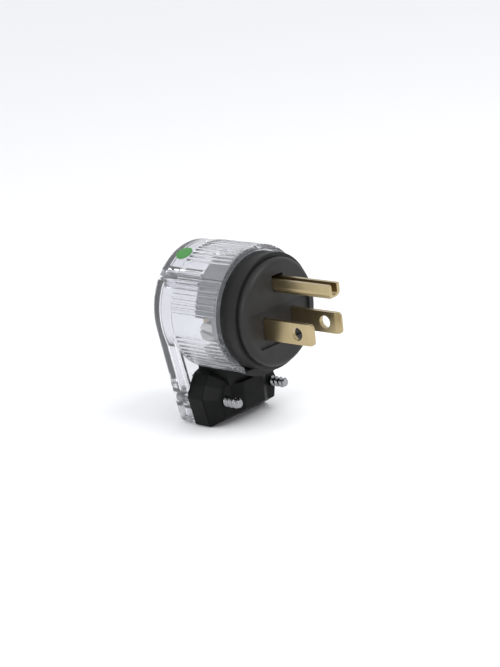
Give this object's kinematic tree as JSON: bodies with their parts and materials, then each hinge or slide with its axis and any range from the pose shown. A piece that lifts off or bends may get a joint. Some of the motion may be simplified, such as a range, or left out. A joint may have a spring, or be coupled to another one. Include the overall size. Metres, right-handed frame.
{
  "type": "right-angle grounding plug",
  "caption": "Right-angle grounding plug: round black face with flat brass blades and a folded ground pin, clear ribbed cover, and a screw-down cord clamp.",
  "frame": {"origin": "centre of the round front face, on the drum's axis", "axes": "-Y is the way the blades point into the outlet, +Y goes back into the cover, +Z is the ground pin's side and the cord leaves towards -Z"},
  "size_m": [0.0388, 0.0557, 0.0541],
  "materials": {
    "black_nylon": "fine satin moulded nylon",
    "clamp_nylon": "fine satin moulded nylon",
    "grey_nylon": "satin moulded nylon",
    "clear_polycarbonate": "clear, polished outside, with moulded flutes",
    "green_dot": "smooth ink",
    "blade_brass": "stamped, lightly brushed along its length",
    "plate_brass": "stamped",
    "brass_screw": "turned",
    "nickel_screw": "nickel plated, turned",
    "green_screw": "green plated",
    "steel_screw": "zinc plated"
  },
  "bodies": {
    "plug": {"face_plate": "black_nylon", "face_body": "black_nylon", "contact_carrier": "grey_nylon", "rear_cover": "clear_polycarbonate", "green_dot": "green_dot", "neutral_blade": "blade_brass", "hot_blade": "blade_brass", "ground_pin": "blade_brass", "cover_screw_left": "steel_screw", "cover_screw_right": "steel_screw", "carrier_screw": "steel_screw"},
    "clamp": {"cord_clamp": "clamp_nylon"},
    "clamp_screw_a": {"clamp_screw_left": "steel_screw"},
    "clamp_screw_b": {"clamp_screw_right": "steel_screw"},
    "neutral_screw": {"neutral_terminal_screw": "nickel_screw"},
    "hot_screw": {"hot_terminal_screw": "brass_screw"},
    "ground_screw": {"ground_terminal_screw": "green_screw"},
    "neutral_plate": {"neutral_pressure_plate": "plate_brass"},
    "hot_plate": {"hot_pressure_plate": "plate_brass"},
    "ground_plate": {"ground_pressure_plate": "plate_brass"}
  },
  "joints": [
    {"name": "clamp_screw_left_turn", "type": "hinge", "parent": "plug", "child": "clamp_screw_a", "pos_m": [-0.0105, 0.0309, -0.0264], "axis": [0, 1, 0], "range_deg": [0, 948]},
    {"name": "clamp_screw_right_turn", "type": "hinge", "parent": "plug", "child": "clamp_screw_b", "pos_m": [0.0105, 0.0309, -0.0264], "axis": [0, 1, 0], "range_deg": [0, 948]},
    {"name": "cord_clamp_slide", "type": "slide", "parent": "plug", "child": "clamp", "axis": [0, -1, 0], "range_m": [0, 0.00445]},
    {"name": "neutral_screw_turn", "type": "hinge", "parent": "plug", "child": "neutral_screw", "pos_m": [-0.0131, 0.0152, -0.0033], "axis": [1, 0, 0], "range_deg": [0, 900]},
    {"name": "neutral_plate_slide", "type": "slide", "parent": "plug", "child": "neutral_plate", "axis": [-1, 0, 0], "range_m": [0, 0.00198]},
    {"name": "hot_screw_turn", "type": "hinge", "parent": "plug", "child": "hot_screw", "pos_m": [0.0131, 0.0152, -0.0033], "axis": [-1, 0, 0], "range_deg": [0, 900]},
    {"name": "hot_plate_slide", "type": "slide", "parent": "plug", "child": "hot_plate", "axis": [1, 0, 0], "range_m": [0, 0.00198]},
    {"name": "ground_screw_turn", "type": "hinge", "parent": "plug", "child": "ground_screw", "pos_m": [0, 0.0152, 0.0135], "axis": [0, 0, -1], "range_deg": [0, 900]},
    {"name": "ground_plate_slide", "type": "slide", "parent": "plug", "child": "ground_plate", "axis": [0, 0, 1], "range_m": [0, 0.00198]}
  ],
  "couplings": [
    {"joint": "clamp_screw_left_turn", "follows": "cord_clamp_slide", "rad_per_m": 3717.9},
    {"joint": "clamp_screw_right_turn", "follows": "cord_clamp_slide", "rad_per_m": 3717.9},
    {"joint": "neutral_screw_turn", "follows": "neutral_plate_slide", "rad_per_m": 7913.3},
    {"joint": "hot_screw_turn", "follows": "hot_plate_slide", "rad_per_m": 7913.3},
    {"joint": "ground_screw_turn", "follows": "ground_plate_slide", "rad_per_m": 7913.3}
  ]
}
